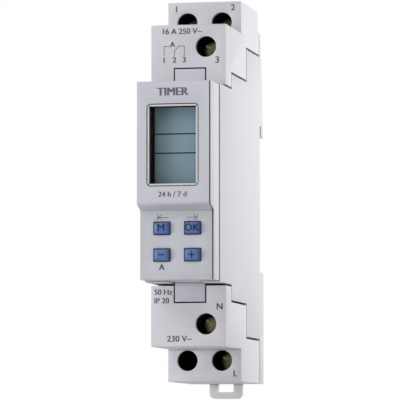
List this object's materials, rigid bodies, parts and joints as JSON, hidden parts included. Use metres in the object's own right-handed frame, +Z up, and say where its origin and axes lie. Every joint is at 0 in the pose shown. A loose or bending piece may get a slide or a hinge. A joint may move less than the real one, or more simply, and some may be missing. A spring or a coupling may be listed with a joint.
{
  "type": "din rail timer",
  "caption": "One-module digital timer relay that snaps on a 35 mm DIN rail, with a small display, keys and screw terminals at both ends.",
  "frame": {"origin": "middle of the rail seat, on the face that rests against the rail", "axes": "+Z up, +X across the module to the right seen from the front, +Y back towards the rail; the front looks along -Y"},
  "size_m": [0.0176, 0.0619, 0.0936],
  "materials": {
    "housing_grey": "light grey moulded plastic, fine matt",
    "cover_grey": "slightly darker light grey, fine matt",
    "carrier_black": "black moulded plastic",
    "window_clear": "clear moulded pane",
    "display_glass": "grey green liquid crystal panel",
    "diffuser_white": "white",
    "strip_rubber": "layered rubber",
    "key_blue": "blue moulded plastic",
    "plunger_brown": "brown plastic",
    "board_green": "green solder mask",
    "screw_plated": "yellow zinc plate",
    "cage_steel": "zinc plated",
    "bar_copper": "copper alloy",
    "capacitor_yellow": "yellow box",
    "capacitor_sleeve": "dark sleeve",
    "relay_shell": "blue relay case",
    "latch_white": "natural white plastic",
    "spring_steel": "spring wire"
  },
  "bodies": {
    "timer": {"bar_1": "bar_copper", "bar_2": "bar_copper", "bar_3": "bar_copper", "bar_l": "bar_copper", "bar_n": "bar_copper", "board_connector": "carrier_black", "bridge_rectifier": "carrier_black", "cell_tabs": "cage_steel", "clock_crystal": "cage_steel", "contact_closed": "bar_copper", "contact_open": "bar_copper", "contact_strips": "strip_rubber", "display_board": "board_green", "display_diffuser": "diffuser_white", "display_frame": "carrier_black", "display_window": "window_clear", "front_cover": "cover_grey", "fusible_resistor": "capacitor_sleeve", "latch_spring": "spring_steel", "lcd_panel": "display_glass", "lower_terminal_carrier": "carrier_black", "lower_terminal_housing": "housing_grey", "main_board": "board_green", "main_housing": "housing_grey", "mains_capacitor": "capacitor_yellow", "microcontroller": "carrier_black", "push_switches": "carrier_black", "relay_base": "relay_shell", "relay_bobbin": "diffuser_white", "relay_case": "relay_shell", "relay_coil": "bar_copper", "relay_core": "cage_steel", "relay_yoke": "cage_steel", "reserve_cell": "cage_steel", "smoothing_capacitor": "capacitor_sleeve", "upper_terminal_carrier": "carrier_black", "upper_terminal_housing": "housing_grey", "varistor": "capacitor_sleeve"},
    "key_menu": {"key_menu": "key_blue", "plunger_menu": "plunger_brown"},
    "key_ok": {"key_ok": "key_blue", "plunger_ok": "plunger_brown"},
    "key_minus": {"key_minus": "key_blue", "plunger_minus": "plunger_brown"},
    "key_plus": {"key_plus": "key_blue", "plunger_plus": "plunger_brown"},
    "screw_1": {"screw_1": "screw_plated"},
    "cage_1": {"cage_1": "cage_steel"},
    "screw_2": {"screw_2": "screw_plated"},
    "cage_2": {"cage_2": "cage_steel"},
    "screw_3": {"screw_3": "screw_plated"},
    "cage_3": {"cage_3": "cage_steel"},
    "screw_n": {"screw_n": "screw_plated"},
    "cage_n": {"cage_n": "cage_steel"},
    "screw_l": {"screw_l": "screw_plated"},
    "cage_l": {"cage_l": "cage_steel"},
    "latch": {"rail_latch": "latch_white"},
    "armature": {"relay_armature": "cage_steel", "pusher_card": "diffuser_white"},
    "blade": {"contact_blade": "bar_copper"}
  },
  "joints": [
    {"name": "key_menu_press", "type": "slide", "parent": "timer", "child": "key_menu", "axis": [0, 1, 0], "range_m": [0, 0.0005], "stiffness_N_per_m": 1200, "springref_m": -0.0005},
    {"name": "key_ok_press", "type": "slide", "parent": "timer", "child": "key_ok", "axis": [0, 1, 0], "range_m": [0, 0.0005], "stiffness_N_per_m": 1200, "springref_m": -0.0005},
    {"name": "key_minus_press", "type": "slide", "parent": "timer", "child": "key_minus", "axis": [0, 1, 0], "range_m": [0, 0.0005], "stiffness_N_per_m": 1200, "springref_m": -0.0005},
    {"name": "key_plus_press", "type": "slide", "parent": "timer", "child": "key_plus", "axis": [0, 1, 0], "range_m": [0, 0.0005], "stiffness_N_per_m": 1200, "springref_m": -0.0005},
    {"name": "cage_1_rise", "type": "slide", "parent": "timer", "child": "cage_1", "axis": [0, -1, 0], "range_m": [0, 0.0027]},
    {"name": "screw_1_turn", "type": "hinge", "parent": "timer", "child": "screw_1", "pos_m": [-0.00415, -0.0137, 0.04005], "axis": [0, 1, 0], "range_deg": [0, 1621]},
    {"name": "cage_2_rise", "type": "slide", "parent": "timer", "child": "cage_2", "axis": [0, -1, 0], "range_m": [0, 0.0027]},
    {"name": "screw_2_turn", "type": "hinge", "parent": "timer", "child": "screw_2", "pos_m": [0.00415, -0.0137, 0.04005], "axis": [0, 1, 0], "range_deg": [0, 1621]},
    {"name": "cage_3_rise", "type": "slide", "parent": "timer", "child": "cage_3", "axis": [0, -1, 0], "range_m": [0, 0.0027]},
    {"name": "screw_3_turn", "type": "hinge", "parent": "timer", "child": "screw_3", "pos_m": [0.00415, -0.0338, 0.03215], "axis": [0, 1, 0], "range_deg": [0, 1621]},
    {"name": "cage_n_rise", "type": "slide", "parent": "timer", "child": "cage_n", "axis": [0, -1, 0], "range_m": [0, 0.0027]},
    {"name": "screw_n_turn", "type": "hinge", "parent": "timer", "child": "screw_n", "pos_m": [0.00415, -0.0338, -0.03215], "axis": [0, 1, 0], "range_deg": [0, 1621]},
    {"name": "cage_l_rise", "type": "slide", "parent": "timer", "child": "cage_l", "axis": [0, -1, 0], "range_m": [0, 0.0027]},
    {"name": "screw_l_turn", "type": "hinge", "parent": "timer", "child": "screw_l", "pos_m": [0.00415, -0.0137, -0.04005], "axis": [0, 1, 0], "range_deg": [0, 1621]},
    {"name": "latch_pull", "type": "slide", "parent": "timer", "child": "latch", "axis": [0, 0, -1], "range_m": [0, 0.0036], "stiffness_N_per_m": 2000, "springref_m": -0.003, "deforming": ["latch_spring"]},
    {"name": "armature_pull", "type": "hinge", "parent": "timer", "child": "armature", "pos_m": [-0.0034, -0.0094, 0.0139], "axis": [0, 1, 0], "range_deg": [0, 4.5], "stiffness_Nm_per_rad": 0.02, "springref_deg": -5.73},
    {"name": "blade_swing", "type": "hinge", "parent": "timer", "child": "blade", "pos_m": [-0.0039, -0.0094, 0.01875], "axis": [0, 1, 0], "range_deg": [0, 4.3]}
  ],
  "couplings": [
    {"joint": "screw_1_turn", "follows": "cage_1_rise", "rad_per_m": 10472},
    {"joint": "screw_2_turn", "follows": "cage_2_rise", "rad_per_m": 10472},
    {"joint": "screw_3_turn", "follows": "cage_3_rise", "rad_per_m": 10472},
    {"joint": "screw_n_turn", "follows": "cage_n_rise", "rad_per_m": 10472},
    {"joint": "screw_l_turn", "follows": "cage_l_rise", "rad_per_m": 10472},
    {"joint": "blade_swing", "follows": "armature_pull", "ratio": 0.94}
  ]
}
